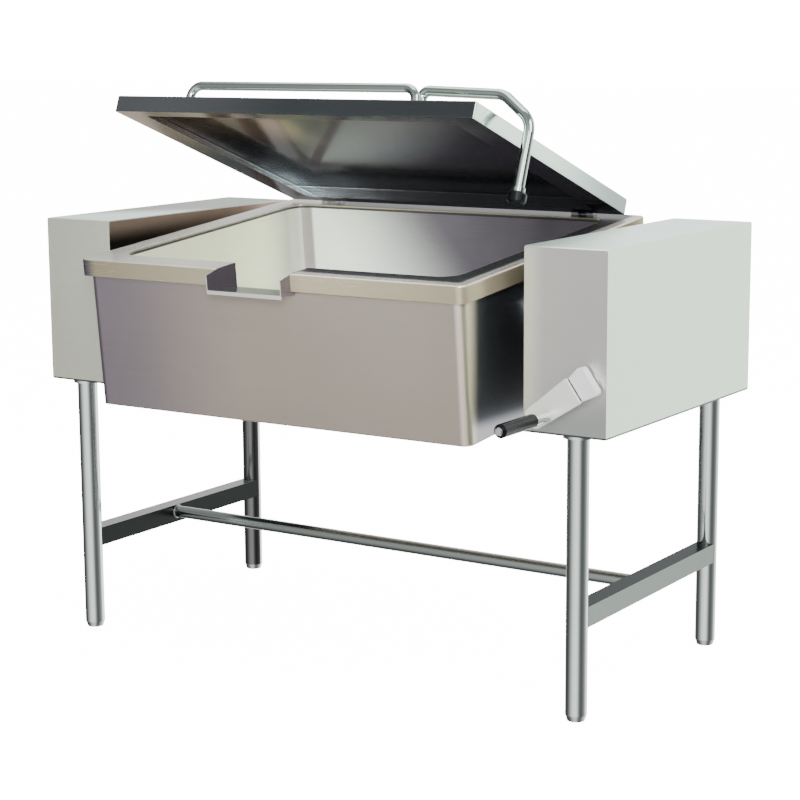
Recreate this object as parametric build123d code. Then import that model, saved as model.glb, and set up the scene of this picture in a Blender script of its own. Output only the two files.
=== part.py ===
from build123d import *
import math
import os

os.makedirs("parts", exist_ok=True)

# Tilting bratt pan on a four-legged stand, with a worm and sector tilting drive in the right console.
# Frame: X to the operator's right, Y to the back, Z up. Origin on the floor, centre of the four feet.

# Stand
LEG_RADIUS = 21.2
LEG_WALL = 2.6
LEG_FROM_CONSOLE_WALL = 100.0
LEG_FROM_CONSOLE_FRONT = 30.0
FOOT_HEIGHT = 12.0
FOOT_TAPER = 4.2
FOOT_STEM = 26.0
FOOT_STEM_GAP = 0.1
FOOT_BOLT_RADIUS = 5.25
LEG_FLANGE_RIM = 7.8
LEG_FLANGE_THICKNESS = 6.0
RAIL_SIZE = 40.0
RAIL_WALL = 2.0
RAIL_CENTRE_Z = 202.0
CROSS_TUBE_RADIUS = 13.5
CROSS_TUBE_WALL = 2.0
CROSS_TUBE_Y = -20.0
CROSS_TUBE_Z = 206.0

# Consoles
CONSOLE_GAP = 44.0
CONSOLE_WIDTH = 172.0
CONSOLE_HALF_DEPTH = 320.0
CONSOLE_HEIGHT = 348.0
CONSOLE_TOP_Z = 900.0
CONSOLE_SHEET = 2.0
CONSOLE_BEND = 5.0
CONSOLE_BASE_THICKNESS = 6.0
BEARING_PLATE_THICKNESS = 8.0

# Trunnions and their bearings
PIVOT_FROM_CONSOLE_FRONT = 170.0
PIVOT_BELOW_CONSOLE_TOP = 140.0
SHAFT_RADIUS = 25.0
SHAFT_PLATE_GAP = 0.5
RUNNING_GAP = 0.05
BEARING_FLANGE = 100.0
BEARING_FLANGE_THICKNESS = 14.0
BEARING_BOSS_RADIUS = 42.0
BEARING_LENGTH = 34.0
BEARING_BOLT_OFFSET = 38.0
BOLT_RADIUS = 5.0
BOLT_HOLE_GAP = 0.4
BOLT_HEAD_WIDTH = 17.0
BOLT_HEAD_HEIGHT = 6.5
SHAFT_PAST_BEARING = 3.0
SHAFT_PAST_SECTOR = 10.0
CABLE_BORE_RADIUS = 11.0
TRUNNION_FLANGE_RADIUS = 64.0
TRUNNION_FLANGE_THICKNESS = 10.0
TRUNNION_BOLT_CIRCLE = 48.0
TRUNNION_BOLTS = 4

# Pan, in its own frame: x across, y back from the front of the rim, z up from the top of the rim
PAN_REST_TILT = 5.5
PAN_FRONT_FROM_PIVOT = 314.0
PAN_TOP_ABOVE_PIVOT = 76.5
RIM_HALF_WIDTH = 456.0
RIM_DEPTH = 740.0
RIM_FACE = 34.0
RIM_SHEET = 3.0
RIM_CORNER = 18.0
RIM_EDGE = 4.0
RIM_OVERHANG = 12.0
CASING_SHEET = 2.0
PAN_HEIGHT = 306.0
BOTTOM_COVER_THICKNESS = 2.0
RIM_SIDE = 58.0
RIM_FRONT = 62.0
RIM_BACK = 60.0
UNDERFLOOR = 100.0
WELL_CORNER = 40.0
WELL_FLOOR_RADIUS = 25.0
WELL_SHEET = 3.0
NOTCH_CENTRE = -17.0
NOTCH_WIDTH = 178.0
NOTCH_DEPTH = 50.0
LIP_SHEET = 2.0
LIP_REACH = 32.0
LIP_RISE = 12.0
LIP_DRIP = 6.0
CHEEK_DROP = 8.0
CHEEK_LEVEL_FROM = 10.0
FLOOR_PLATE_THICKNESS = 12.0
FLOOR_PLATE_MARGIN = 30.0
HEATER_RADIUS = 6.0
HEATER_COUNT = 6
HEATER_SPACING = 84.0
HEATER_END = 97.0
CLAMP_WIDTH = 30.0
CLAMP_THICKNESS = 4.0
CLAMP_SPACING = 200.0
BOTTOM_INSULATION_THICKNESS = 40.0
BACKING_PLATE_THICKNESS = 6.0
BACKING_PLATE_HALF = 70.0

# Lid, in its own frame: x across, y back, z up, origin on the hinge axis
HINGE_FROM_BACK = 23.0
HINGE_Z = 9.0
LID_OPEN_AT_REST = 25.4
LID_SIDE_INSET = 31.0
LID_REAR = 10.3
LID_ON_FRONT_RIM = 7.0
LID_HEIGHT = 34.0
LID_SEAT_GAP = 0.5
LID_SHEET = 2.0
LID_LIP_SIDE = 60.0
LID_LIP_ENDS = 30.0
LID_EDGE = 4.0
KNUCKLE_RADIUS = 8.5
KNUCKLE_INSET = 103.0
STRAP_HALF_WIDTH = 10.0
LUG_WIDTH = 16.0
KNUCKLE_GAP = 0.3
PIN_RADIUS = 5.0
PIN_HEAD_RADIUS = 7.0
PIN_HEAD = 3.0

# Lid handle and the arm with a knob at the right of the lid
HANDLE_RADIUS = 9.0
HANDLE_INSET = 157.0
HANDLE_FROM_FRONT = 38.0
HANDLE_RISE = 34.0
HANDLE_BEND = 25.0
HANDLE_FOOT_RADIUS = 15.0
HANDLE_FOOT_HEIGHT = 3.0
ARM_FROM_FRONT = 115.0
ARM_RADIUS = 10.5
ARM_FOOT_INSET = 195.0
ARM_RISE = 54.5
ARM_FALL = 5.5
ARM_SHOULDER_INSET = 15.0
ARM_LEG_OUTSET = 52.0
ARM_ELBOW_DROP = 0.5
ARM_LEG_DROP = 129.5
ARM_FOOT_BEND = 16.0
ARM_BEND = 45.0
COLLAR_RADIUS = 13.0
COLLAR_HEIGHT = 8.0
KNOB_RADIUS = 18.0
KNOB_HEIGHT = 22.0
KNOB_EDGE = 4.0

# Tilting drive: single-start worm on the crank shaft, toothed sector on the right trunnion
MODULE = 4.0
SECTOR_TEETH = 43
WORM_PITCH_RADIUS = 20.0
ADDENDUM = 4.0
DEDENDUM = 5.0
PRESSURE_ANGLE = 20.0
TOOTH_THICKNESS = 5.3
SECTOR_FROM_CONSOLE_WALL = 134.0
SECTOR_FACE = 16.0
SECTOR_FIRST_TOOTH = -12
SECTOR_LAST_TOOTH = 2
SECTOR_HUB_RADIUS = 40.0
KEY_WIDTH = 14.0
KEY_HEIGHT = 9.0
WORM_TURNS = 4
WORM_CORE_HALF = 34.0
THREAD_ROOT_SINK = 0.5
CRANK_SHAFT_RADIUS = 10.0
CRANK_SHAFT_REAR = 66.0
BEARING_BLOCK_NEAR = 42.0
BEARING_BLOCK_LENGTH = 20.0
BEARING_BLOCK_WIDTH = 50.0
BEARING_BLOCK_RISE = 18.0
BRACKET_FOOT_THICKNESS = 8.0
BUSH_WALL = 3.0
FRONT_BUSH_FLANGE_RADIUS = 22.0
FRONT_BUSH_FLANGE = 3.0
FRONT_BUSH_DEPTH = 22.0
FRONT_BUSH_WALL = 5.0

# Crank, in its own frame: x along the arm from the shaft, y across, z towards the operator
CRANK_REST_ANGLE = 35.7
CRANK_REACH = 88.5
SPINDLE_OFFSET = 11.0
HUB_TAIL = 20.0
HUB_NOSE = 28.0
HUB_NOSE_HALF_WIDTH = 22.0
HUB_TAIL_HALF_WIDTH = 32.0
HUB_BACK = 6.0
HUB_THICKNESS = 20.0
HUB_FACE = 5.0
HUB_CORNER = 8.0
ARM_PLATE_START = 16.0
ARM_PLATE_END = 128.0
ARM_PLATE_THICKNESS = 8.0
ARM_PLATE_HALF_START = 27.0
ARM_PLATE_HALF_END = 20.0
ARM_PLATE_CORNER = 3.0
ARM_PLATE_END_CORNER = 10.0
SPINDLE_RADIUS = 5.0
FERRULE_RADIUS = 11.0
FERRULE_LENGTH = 55.0
GRIP_RADIUS = 13.0
GRIP_LENGTH = 118.0
GRIP_END_EDGE = 4.0
GRIP_PLAY = 0.4
SCREW_HEAD_RADIUS = 8.0
SCREW_HEAD = 4.0

# Supply in the left console
TERMINAL_BOX = (90.0, 120.0, 70.0)
TERMINAL_BOX_Y = 150.0
GLAND_ABOVE_BASE = 58.0
GLAND_BORE_RADIUS = 7.0
GLAND_THREAD_RADIUS = 12.0
GLAND_HEX = 30.0
GLAND_REACH = 16.0
GLAND_INSIDE = 10.0

# Values that follow
SIDES = (("left", -1), ("right", 1))
CONSOLE_INNER_X = RIM_HALF_WIDTH + CONSOLE_GAP
CONSOLE_OUTER_X = CONSOLE_INNER_X + CONSOLE_WIDTH
CONSOLE_BASE_Z = CONSOLE_TOP_Z - CONSOLE_HEIGHT
LEG_X = CONSOLE_INNER_X + LEG_FROM_CONSOLE_WALL
LEG_Y = CONSOLE_HALF_DEPTH - LEG_FROM_CONSOLE_FRONT
PIVOT_Y = PIVOT_FROM_CONSOLE_FRONT - CONSOLE_HALF_DEPTH
PIVOT_Z = CONSOLE_TOP_Z - PIVOT_BELOW_CONSOLE_TOP
PAN_FRONT_Y = PIVOT_Y - PAN_FRONT_FROM_PIVOT
PAN_TOP_Z = PIVOT_Z + PAN_TOP_ABOVE_PIVOT
WELL_HALF_WIDTH = RIM_HALF_WIDTH - RIM_SIDE
WELL_FRONT = RIM_FRONT
WELL_BACK = RIM_DEPTH - RIM_BACK
WELL_DEPTH = PAN_HEIGHT - UNDERFLOOR
NOTCH_LEFT = NOTCH_CENTRE - NOTCH_WIDTH / 2
NOTCH_RIGHT = NOTCH_CENTRE + NOTCH_WIDTH / 2
HINGE_Y = RIM_DEPTH - HINGE_FROM_BACK
LID_HALF_WIDTH = RIM_HALF_WIDTH - LID_SIDE_INSET
LID_FRONT = HINGE_Y - RIM_FRONT + LID_ON_FRONT_RIM
KNUCKLE_X = LID_HALF_WIDTH - KNUCKLE_INSET
HANDLE_HALF_SPAN = LID_HALF_WIDTH - HANDLE_INSET
SECTOR_X = CONSOLE_INNER_X + SECTOR_FROM_CONSOLE_WALL
CENTRE_DISTANCE = WORM_PITCH_RADIUS + MODULE * SECTOR_TEETH / 2
SECTOR_PITCH_RADIUS = MODULE * SECTOR_TEETH / 2
WORM_LEAD = math.pi * MODULE
WORM_Z = PIVOT_Z - CENTRE_DISTANCE
CASING_HALF = RIM_HALF_WIDTH - RIM_OVERHANG
PLATE_TOP = -WELL_DEPTH - WELL_SHEET
HEATER_Z = PLATE_TOP - FLOOR_PLATE_THICKNESS - HEATER_RADIUS
CONSOLE_CENTRE_X = (CONSOLE_INNER_X + CONSOLE_OUTER_X) / 2
GLAND_X = -CONSOLE_CENTRE_X
GLAND_Z = CONSOLE_BASE_Z + GLAND_ABOVE_BASE
LID_BOTTOM = LID_SEAT_GAP - HINGE_Z
LID_TOP = LID_BOTTOM + LID_HEIGHT
PAN = Pos(0, PAN_FRONT_Y, PAN_TOP_Z) * Rot(PAN_REST_TILT, 0, 0)
LID = PAN * Pos(0, HINGE_Y, HINGE_Z) * Rot(-LID_OPEN_AT_REST, 0, 0)
RISE = math.radians(PAN_REST_TILT)
PIVOT_IN_PAN_Y = (PIVOT_Y - PAN_FRONT_Y) * math.cos(RISE) + (PIVOT_Z - PAN_TOP_Z) * math.sin(RISE)
PIVOT_IN_PAN_Z = (PIVOT_Z - PAN_TOP_Z) * math.cos(RISE) - (PIVOT_Y - PAN_FRONT_Y) * math.sin(RISE)


def box(x0, x1, y0, y1, z0, z1):
    middle = Pos((x0 + x1) / 2, (y0 + y1) / 2, (z0 + z1) / 2)
    return middle * Box(abs(x1 - x0), abs(y1 - y0), abs(z1 - z0))


def rod(start, direction, length, radius):
    low = (Align.CENTER, Align.CENTER, Align.MIN)
    return Plane(origin=start, z_dir=direction) * Cylinder(radius, length, align=low)


def tube(start, direction, length, radius, bore):
    return rod(start, direction, length, radius) - rod(start, direction, length, bore)


def hexagon(start, direction, length, width):
    plane = Plane(origin=start, z_dir=direction)
    return extrude(plane * RegularPolygon(width / 2, 6, major_radius=False), length)


def prism(half_width, y0, y1, z0, z1, corner):
    outline = Pos(0, (y0 + y1) / 2) * RectangleRounded(2 * half_width, y1 - y0, corner)
    return extrude(Plane.XY.offset(z0) * outline, z1 - z0)


def across(side_outline, x0, x1):
    outline = Plane.YZ.offset(x0) * make_face(Polyline(*side_outline, close=True))
    return extrude(outline, x1 - x0)


def top_edges(solid):
    return solid.faces().sort_by(Axis.Z)[-1].edges()


def bottom_edges(solid):
    return solid.faces().sort_by(Axis.Z)[0].edges()


def bent_tube(points, radii, tube_radius):
    path = FilletPolyline(*points, radius=radii)
    start = Plane(origin=path @ 0, z_dir=path % 0)
    return sweep(start * Circle(tube_radius), path=path)


def save(name, shape):
    export_step(shape, "parts/" + name + ".step")


# Legs and feet
feet = []
for end, side_y in (("front", -1), ("rear", 1)):
    for side, side_x in SIDES:
        x = side_x * LEG_X
        y = side_y * LEG_Y
        flange_z = CONSOLE_BASE_Z - LEG_FLANGE_THICKNESS
        bore = LEG_RADIUS - LEG_WALL
        leg = tube((x, y, FOOT_HEIGHT), (0, 0, 1), flange_z - FOOT_HEIGHT, LEG_RADIUS, bore)
        leg += rod((x, y, flange_z), (0, 0, 1), LEG_FLANGE_THICKNESS, LEG_RADIUS + LEG_FLANGE_RIM)
        save("leg_" + end + "_" + side, leg)
        low = (Align.CENTER, Align.CENTER, Align.MIN)
        foot = Pos(x, y, 0) * Cone(LEG_RADIUS - FOOT_TAPER, LEG_RADIUS, FOOT_HEIGHT, align=low)
        foot += rod((x, y, FOOT_HEIGHT), (0, 0, 1), FOOT_STEM, bore - FOOT_STEM_GAP)
        foot -= rod((x, y, 0), (0, 0, 1), FOOT_HEIGHT + FOOT_STEM, FOOT_BOLT_RADIUS)
        feet.append(foot)
save("feet", Compound(children=feet))

# Rails between the legs
for side, side_x in SIDES:
    x = side_x * LEG_X
    half = RAIL_SIZE / 2
    hollow = half - RAIL_WALL
    z = RAIL_CENTRE_Z
    rail = box(x - half, x + half, -LEG_Y, LEG_Y, z - half, z + half)
    rail -= box(x - hollow, x + hollow, -LEG_Y, LEG_Y, z - hollow, z + hollow)
    for side_y in (-1, 1):
        rail -= rod((x, side_y * LEG_Y, z - RAIL_SIZE), (0, 0, 1), 2 * RAIL_SIZE, LEG_RADIUS)
    save("side_rail_" + side, rail)
cross_half = LEG_X - RAIL_SIZE / 2
cross_start = (-cross_half, CROSS_TUBE_Y, CROSS_TUBE_Z)
cross_bore = CROSS_TUBE_RADIUS - CROSS_TUBE_WALL
save("cross_tube", tube(cross_start, (1, 0, 0), 2 * cross_half, CROSS_TUBE_RADIUS, cross_bore))


def console_cover():
    half = CONSOLE_HALF_DEPTH
    width = CONSOLE_OUTER_X - CONSOLE_SHEET - CONSOLE_INNER_X
    outer = box(0, width, -half, half, CONSOLE_BASE_Z, CONSOLE_TOP_Z)
    outer = fillet(top_edges(outer).filter_by(Axis.X), CONSOLE_BEND)
    depth = half - CONSOLE_SHEET
    inner = box(0, width, -depth, depth, CONSOLE_BASE_Z, CONSOLE_TOP_Z - CONSOLE_SHEET)
    inner = fillet(top_edges(inner).filter_by(Axis.X), CONSOLE_BEND - CONSOLE_SHEET)
    return Pos(CONSOLE_INNER_X, 0, 0) * (outer - inner)


# Consoles, drawn on the right and mirrored to the left
depth = CONSOLE_HALF_DEPTH - CONSOLE_SHEET
base_top = CONSOLE_BASE_Z + CONSOLE_BASE_THICKNESS
cover_end = CONSOLE_OUTER_X - CONSOLE_SHEET
plate_end = CONSOLE_INNER_X + BEARING_PLATE_THICKNESS
plate_top = CONSOLE_TOP_Z - CONSOLE_SHEET
base_plate = box(CONSOLE_INNER_X, cover_end, -depth, depth, CONSOLE_BASE_Z, base_top)
bearing_plate = box(CONSOLE_INNER_X, plate_end, -depth, depth, base_top, plate_top)
bearing_plate = fillet(top_edges(bearing_plate).filter_by(Axis.X), CONSOLE_BEND - CONSOLE_SHEET)
plate_hole = rod((CONSOLE_INNER_X, PIVOT_Y, PIVOT_Z), (1, 0, 0), BEARING_PLATE_THICKNESS,
                 SHAFT_RADIUS + SHAFT_PLATE_GAP)
bearing_plate -= plate_hole
side_panel = box(cover_end, CONSOLE_OUTER_X, -CONSOLE_HALF_DEPTH, CONSOLE_HALF_DEPTH,
                 CONSOLE_BASE_Z, CONSOLE_TOP_Z)
side_panel = fillet(side_panel.edges().filter_by(Axis.X), CONSOLE_BEND)
flange_half = BEARING_FLANGE / 2
bearing = box(plate_end, plate_end + BEARING_FLANGE_THICKNESS, PIVOT_Y - flange_half,
              PIVOT_Y + flange_half, PIVOT_Z - flange_half, PIVOT_Z + flange_half)
bearing = fillet(bearing.edges().filter_by(Axis.X), BOLT_HEAD_WIDTH / 2)
bearing += rod((plate_end, PIVOT_Y, PIVOT_Z), (1, 0, 0), BEARING_LENGTH, BEARING_BOSS_RADIUS)
bearing -= rod((plate_end, PIVOT_Y, PIVOT_Z), (1, 0, 0), BEARING_LENGTH, SHAFT_RADIUS + RUNNING_GAP)
bearing_bolts = []
for side_y in (-1, 1):
    for side_z in (-1, 1):
        y = PIVOT_Y + side_y * BEARING_BOLT_OFFSET
        z = PIVOT_Z + side_z * BEARING_BOLT_OFFSET
        through = BEARING_PLATE_THICKNESS + BEARING_FLANGE_THICKNESS
        hole = rod((CONSOLE_INNER_X, y, z), (1, 0, 0), through, BOLT_RADIUS + BOLT_HOLE_GAP)
        bearing -= hole
        bearing_plate -= hole
        bolt = rod((CONSOLE_INNER_X, y, z), (1, 0, 0), through, BOLT_RADIUS)
        bolt += hexagon((CONSOLE_INNER_X + through, y, z), (1, 0, 0), BOLT_HEAD_HEIGHT, BOLT_HEAD_WIDTH)
        bearing_bolts.append(bolt)
bearing_bolts = Compound(children=bearing_bolts)

# Front bush of the crank shaft and the supply gland pass through the sheet of the covers
bush_radius = CRANK_SHAFT_RADIUS + RUNNING_GAP + FRONT_BUSH_WALL
bush_bore = CRANK_SHAFT_RADIUS + RUNNING_GAP
front = -CONSOLE_HALF_DEPTH
crank_bush = rod((SECTOR_X, front, WORM_Z), (0, 1, 0), FRONT_BUSH_DEPTH, bush_radius)
crank_bush += rod((SECTOR_X, front, WORM_Z), (0, -1, 0), FRONT_BUSH_FLANGE, FRONT_BUSH_FLANGE_RADIUS)
bush_start = (SECTOR_X, front - FRONT_BUSH_FLANGE, WORM_Z)
crank_bush -= rod(bush_start, (0, 1, 0), FRONT_BUSH_FLANGE + FRONT_BUSH_DEPTH, bush_bore)
save("crank_bush", crank_bush)
rear = CONSOLE_HALF_DEPTH
gland = hexagon((GLAND_X, rear, GLAND_Z), (0, 1, 0), GLAND_REACH, GLAND_HEX)
gland += rod((GLAND_X, rear, GLAND_Z), (0, -1, 0), GLAND_INSIDE, GLAND_THREAD_RADIUS)
gland -= rod((GLAND_X, rear + GLAND_REACH, GLAND_Z), (0, -1, 0), GLAND_REACH + GLAND_INSIDE,
             GLAND_BORE_RADIUS)
save("cable_gland", gland)
for side, side_x in SIDES:
    cover = console_cover()
    parts = {"base_plate": base_plate, "bearing_plate": bearing_plate,
             "side_panel": side_panel, "bearing": bearing, "bearing_bolts": bearing_bolts}
    if side_x < 0:
        parts = {name: mirror(shape, about=Plane.YZ) for name, shape in parts.items()}
        cover = mirror(cover, about=Plane.YZ)
        cover -= rod((GLAND_X, rear, GLAND_Z), (0, -1, 0), CONSOLE_SHEET, GLAND_THREAD_RADIUS)
    else:
        cover -= rod((SECTOR_X, front, WORM_Z), (0, 1, 0), CONSOLE_SHEET, bush_radius)
    save("console_cover_" + side, cover)
    for name, shape in parts.items():
        save(name + "_" + side, shape)
length, width, height = TERMINAL_BOX
terminal_box = Pos(-CONSOLE_CENTRE_X, TERMINAL_BOX_Y, base_top + height / 2) * Box(length, width, height)
save("terminal_box", fillet(terminal_box.edges().filter_by(Axis.Z), CONSOLE_BEND))

# Pan well and the sheets round it
sheet_top = -RIM_SHEET
outer_width = WELL_HALF_WIDTH + WELL_SHEET
outer_front = WELL_FRONT - WELL_SHEET
outer_back = WELL_BACK + WELL_SHEET
well_outer = prism(outer_width, outer_front, outer_back, PLATE_TOP, sheet_top, WELL_CORNER + WELL_SHEET)
well_outer = fillet(bottom_edges(well_outer), WELL_FLOOR_RADIUS + WELL_SHEET)
well_inner = prism(WELL_HALF_WIDTH, WELL_FRONT, WELL_BACK, -WELL_DEPTH, RIM_SHEET, WELL_CORNER)
well_inner = fillet(bottom_edges(well_inner), WELL_FLOOR_RADIUS)
lip_under = LIP_RISE - NOTCH_DEPTH
notch_side = [(-LIP_REACH, lip_under), (WELL_FRONT, -NOTCH_DEPTH), (WELL_FRONT, RIM_SHEET),
              (-LIP_REACH, RIM_SHEET)]
notch = across(notch_side, NOTCH_LEFT, NOTCH_RIGHT)
save("pan_well", PAN * (well_outer - well_inner - notch))

deck = prism(RIM_HALF_WIDTH, 0, RIM_DEPTH, -RIM_FACE, 0, RIM_CORNER)
deck = fillet(top_edges(deck), RIM_EDGE)
skirt_inner = RIM_HALF_WIDTH - RIM_SHEET
deck -= prism(skirt_inner, RIM_SHEET, RIM_DEPTH - RIM_SHEET, -RIM_FACE, sheet_top, RIM_CORNER - RIM_SHEET)
save("pan_rim", PAN * (deck - well_inner - notch))

casing_back = RIM_DEPTH - RIM_OVERHANG
casing_low = -PAN_HEIGHT + BOTTOM_COVER_THICKNESS
inner_half = CASING_HALF - CASING_SHEET
inner_front = RIM_OVERHANG + CASING_SHEET
inner_back = casing_back - CASING_SHEET
inner_corner = RIM_CORNER - CASING_SHEET
casing = prism(CASING_HALF, RIM_OVERHANG, casing_back, casing_low, sheet_top, RIM_CORNER)
casing -= prism(inner_half, inner_front, inner_back, casing_low, sheet_top, inner_corner)
casing -= notch
bottom_cover = prism(CASING_HALF, RIM_OVERHANG, casing_back, -PAN_HEIGHT, casing_low, RIM_CORNER)
save("pan_bottom_cover", PAN * bottom_cover)

# Pouring lip: a folded trough that fills the notch, rises a little and reaches past the front
lip_side = [(-LIP_REACH, lip_under), (WELL_FRONT, -NOTCH_DEPTH), (WELL_FRONT, 0), (CHEEK_LEVEL_FROM, 0),
            (-LIP_REACH, -CHEEK_DROP)]
lip_room = [(y, z + LIP_SHEET) for y, z in notch_side]
lip = across(lip_side, NOTCH_LEFT, NOTCH_RIGHT)
lip -= across(lip_room, NOTCH_LEFT + LIP_SHEET, NOTCH_RIGHT - LIP_SHEET)
drip_back = -LIP_REACH + LIP_SHEET
lip += box(NOTCH_LEFT, NOTCH_RIGHT, -LIP_REACH, drip_back, lip_under - LIP_DRIP, lip_under + LIP_SHEET / 2)
save("pouring_lip", PAN * lip)

# Trunnions on backing plates inside the casing
pivot_y = PIVOT_IN_PAN_Y
pivot_z = PIVOT_IN_PAN_Z
insulation = prism(inner_half, inner_front, inner_back, PLATE_TOP, sheet_top, inner_corner)
insulation -= well_outer
insulation -= notch
backing_plates = []
trunnion_bolts = []
key_z = SHAFT_RADIUS - KEY_HEIGHT / 2
for side, side_x in SIDES:
    out = (side_x, 0, 0)
    plate_x = side_x * (inner_half - BACKING_PLATE_THICKNESS)
    half = BACKING_PLATE_HALF
    plate = box(plate_x, side_x * inner_half, pivot_y - half, pivot_y + half, pivot_z - half, pivot_z + half)
    insulation -= plate
    sector_end = SECTOR_X + SECTOR_FACE / 2 + SHAFT_PAST_SECTOR
    bearing_end = plate_end + BEARING_LENGTH + SHAFT_PAST_BEARING
    shaft_end = sector_end if side_x > 0 else bearing_end
    root_x = side_x * CASING_HALF
    trunnion = rod((root_x, pivot_y, pivot_z), out, TRUNNION_FLANGE_THICKNESS, TRUNNION_FLANGE_RADIUS)
    trunnion += rod((plate_x, pivot_y, pivot_z), out, shaft_end - abs(plate_x), SHAFT_RADIUS)
    spigot = rod((plate_x, pivot_y, pivot_z), out, CASING_HALF - abs(plate_x), SHAFT_RADIUS)
    plate -= spigot
    casing -= spigot
    stack = CASING_HALF + TRUNNION_FLANGE_THICKNESS - abs(plate_x)
    for index in range(TRUNNION_BOLTS):
        angle = 2 * math.pi * (index + 0.5) / TRUNNION_BOLTS
        y = pivot_y + TRUNNION_BOLT_CIRCLE * math.cos(angle)
        z = pivot_z + TRUNNION_BOLT_CIRCLE * math.sin(angle)
        hole = rod((plate_x, y, z), out, stack, BOLT_RADIUS + BOLT_HOLE_GAP)
        plate -= hole
        casing -= hole
        trunnion -= hole
        bolt = rod((plate_x, y, z), out, stack, BOLT_RADIUS)
        head_x = side_x * (abs(plate_x) + stack)
        bolt += hexagon((head_x, y, z), out, BOLT_HEAD_HEIGHT, BOLT_HEAD_WIDTH)
        trunnion_bolts.append(bolt)
    backing_plates.append(plate)
    if side_x < 0:
        trunnion -= rod((plate_x, pivot_y, pivot_z), out, shaft_end - abs(plate_x), CABLE_BORE_RADIUS)
    trunnion = PAN * trunnion
    if side_x > 0:
        half_face = SECTOR_FACE / 2
        half_key = KEY_WIDTH / 2
        key = box(SECTOR_X - half_face, SECTOR_X + half_face, PIVOT_Y - half_key, PIVOT_Y + half_key,
                  PIVOT_Z + key_z, PIVOT_Z + key_z + KEY_HEIGHT)
        trunnion -= key
        save("sector_key", key)
    save("trunnion_" + side, trunnion)
save("pan_casing", PAN * casing)
save("trunnion_backing_plates", PAN * Compound(children=backing_plates))
save("trunnion_bolts", PAN * Compound(children=trunnion_bolts))
save("side_insulation", PAN * insulation)
board_top = casing_low + BOTTOM_INSULATION_THICKNESS
board = prism(inner_half, inner_front, inner_back, casing_low, board_top, inner_corner)
save("bottom_insulation", PAN * board)

# Heated floor: thick plate, rod elements and the bars that press them to it
plate_half = WELL_HALF_WIDTH - FLOOR_PLATE_MARGIN
plate_front = WELL_FRONT + FLOOR_PLATE_MARGIN
plate_back = WELL_BACK - FLOOR_PLATE_MARGIN
plate_low = PLATE_TOP - FLOOR_PLATE_THICKNESS
floor_plate = prism(plate_half, plate_front, plate_back, plate_low, PLATE_TOP, WELL_FLOOR_RADIUS)
save("pan_floor_plate", PAN * floor_plate)
elements = []
well_centre = (WELL_FRONT + WELL_BACK) / 2
heater_half = WELL_HALF_WIDTH - HEATER_END
for index in range(HEATER_COUNT):
    y = well_centre + (index - (HEATER_COUNT - 1) / 2) * HEATER_SPACING
    elements.append(rod((-heater_half, y, HEATER_Z), (1, 0, 0), 2 * heater_half, HEATER_RADIUS))
save("heating_elements", PAN * Compound(children=elements))
clamp_top = HEATER_Z - HEATER_RADIUS
bars = []
for x in (-CLAMP_SPACING, 0, CLAMP_SPACING):
    half = CLAMP_WIDTH / 2
    bars.append(box(x - half, x + half, plate_front, plate_back, clamp_top - CLAMP_THICKNESS, clamp_top))
save("heater_clamps", PAN * Compound(children=bars))

# Hinge lugs on the rim, pins, and straps on the lid
lugs = []
pins = []
straps = []
for side, side_x in SIDES:
    centre = side_x * KNUCKLE_X
    pin_length = 2 * (STRAP_HALF_WIDTH + KNUCKLE_GAP + LUG_WIDTH)
    pin_start = (centre - pin_length / 2, HINGE_Y, HINGE_Z)
    for lug_side in (-1, 1):
        near = centre + lug_side * (STRAP_HALF_WIDTH + KNUCKLE_GAP)
        far = near + lug_side * LUG_WIDTH
        lug = box(near, far, HINGE_Y - KNUCKLE_RADIUS, HINGE_Y + KNUCKLE_RADIUS, 0, HINGE_Z)
        lug += rod((near, HINGE_Y, HINGE_Z), (lug_side, 0, 0), LUG_WIDTH, KNUCKLE_RADIUS)
        lugs.append(lug - rod(pin_start, (1, 0, 0), pin_length, PIN_RADIUS))
    pin = rod(pin_start, (1, 0, 0), pin_length, PIN_RADIUS)
    pin += rod(pin_start, (-1, 0, 0), PIN_HEAD, PIN_HEAD_RADIUS)
    pins.append(pin)
    strap_start = (centre - STRAP_HALF_WIDTH, 0, 0)
    strap = rod(strap_start, (1, 0, 0), 2 * STRAP_HALF_WIDTH, KNUCKLE_RADIUS)
    half = STRAP_HALF_WIDTH
    strap += box(centre - half, centre + half, -LID_REAR, 0, -PIN_RADIUS, KNUCKLE_RADIUS)
    straps.append(strap - rod(strap_start, (1, 0, 0), 2 * STRAP_HALF_WIDTH, PIN_RADIUS + RUNNING_GAP))
save("hinge_lugs", PAN * Compound(children=lugs))
save("hinge_pins", PAN * Compound(children=pins))
save("hinge_straps", LID * Compound(children=straps))

# Lid: folded tray turned over, a return lip round its lower edge
lip_top = LID_BOTTOM + LID_SHEET
shell = box(-LID_HALF_WIDTH, LID_HALF_WIDTH, -LID_FRONT, -LID_REAR, lip_top, LID_TOP)
shell = fillet(top_edges(shell) + shell.edges().filter_by(Axis.Z), LID_EDGE)
hollow_half = LID_HALF_WIDTH - LID_SHEET
hollow_front = -LID_FRONT + LID_SHEET
hollow_back = -LID_REAR - LID_SHEET
hollow_top = LID_TOP - LID_SHEET
hollow = box(-hollow_half, hollow_half, hollow_front, hollow_back, lip_top, hollow_top)
shell -= fillet(top_edges(hollow) + hollow.edges().filter_by(Axis.Z), LID_EDGE - LID_SHEET)
save("lid_shell", LID * shell)
lip_plate = prism(LID_HALF_WIDTH, -LID_FRONT, -LID_REAR, LID_BOTTOM, lip_top, LID_EDGE)
lip_half = LID_HALF_WIDTH - LID_LIP_SIDE
lip_plate -= prism(lip_half, LID_LIP_ENDS - LID_FRONT, -LID_REAR - LID_LIP_ENDS, LID_BOTTOM, lip_top,
                   LID_EDGE)
save("lid_return_lip", LID * lip_plate)

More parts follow.
